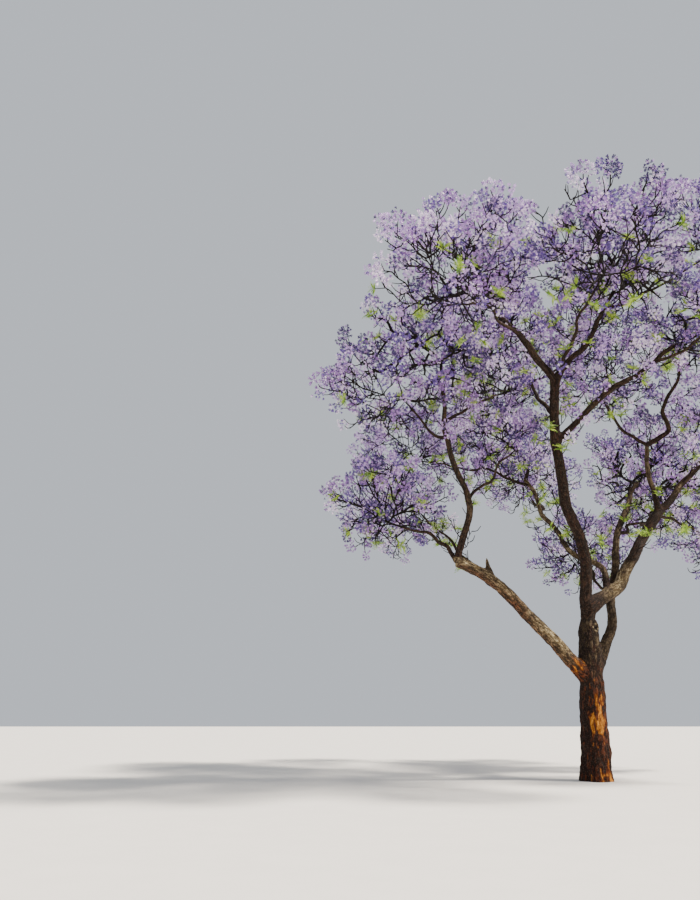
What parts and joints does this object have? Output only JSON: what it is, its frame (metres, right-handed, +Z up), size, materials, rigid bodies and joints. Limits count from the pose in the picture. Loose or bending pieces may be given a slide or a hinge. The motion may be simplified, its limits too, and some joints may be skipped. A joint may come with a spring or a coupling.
{
  "type": "jacaranda tree",
  "caption": "Jacaranda tree in full bloom: a fluted trunk, sinuous boughs and a broad, airy crown of lilac blossom.",
  "frame": {"origin": "centre of the flat cut under the trunk, at ground level", "axes": "+Z up the trunk, +X to the tree's right and +Y to its back as seen from the side that the picture shows"},
  "size_m": [15.7226, 15.2509, 15.1723],
  "materials": {
    "trunk_bark": "rough fissured bark, dark brown with rust-orange patches low on one side",
    "bough_bark": "scaly grey-brown bark, paler on its upper sides",
    "blossom": "soft matt lilac petals with a few lime-green leaf tufts"
  },
  "bodies": {
    "root": {"trunk": "trunk_bark", "main_stem": "bough_bark", "left_bough": "bough_bark", "right_bough": "bough_bark", "rear_bough": "bough_bark", "cross_left_limb": "bough_bark", "cross_limb": "bough_bark", "cross_rear_limb": "bough_bark", "cross_top_limb": "bough_bark", "front_left_limb": "bough_bark", "front_right_limb": "bough_bark", "left_elbow_limb": "bough_bark", "left_rear_limb": "bough_bark", "left_riser": "bough_bark", "middle_limb": "bough_bark", "rear_low_limb": "bough_bark", "rear_right_limb": "bough_bark", "rear_top_limb": "bough_bark", "right_fork_limb": "bough_bark", "right_front_limb": "bough_bark", "right_inner_limb": "bough_bark", "right_low_limb": "bough_bark", "right_outer_limb": "bough_bark", "right_riser": "bough_bark", "right_top_limb": "bough_bark", "riser_inner_limb": "bough_bark", "riser_outer_limb": "bough_bark", "riser_upper_limb": "bough_bark", "stem_front_limb": "bough_bark", "stem_left_fork": "bough_bark", "stem_rear_limb": "bough_bark", "stem_right_fork": "bough_bark", "cross_left_blossom": "blossom", "cross_rear_blossom": "blossom", "cross_top_blossom": "blossom", "front_left_blossom": "blossom", "front_right_blossom": "blossom", "left_elbow_blossom": "blossom", "left_rear_blossom": "blossom", "left_riser_blossom": "blossom", "middle_blossom": "blossom", "rear_bough_blossom": "blossom", "rear_low_blossom": "blossom", "rear_right_blossom": "blossom", "rear_top_blossom": "blossom", "right_fork_blossom": "blossom", "right_front_blossom": "blossom", "right_inner_blossom": "blossom", "right_low_blossom": "blossom", "right_outer_blossom": "blossom", "right_top_blossom": "blossom", "riser_inner_blossom": "blossom", "riser_outer_blossom": "blossom", "riser_upper_blossom": "blossom", "stem_front_blossom": "blossom", "stem_left_blossom": "blossom", "stem_rear_blossom": "blossom", "stem_right_blossom": "blossom"}
  },
  "joints": []
}
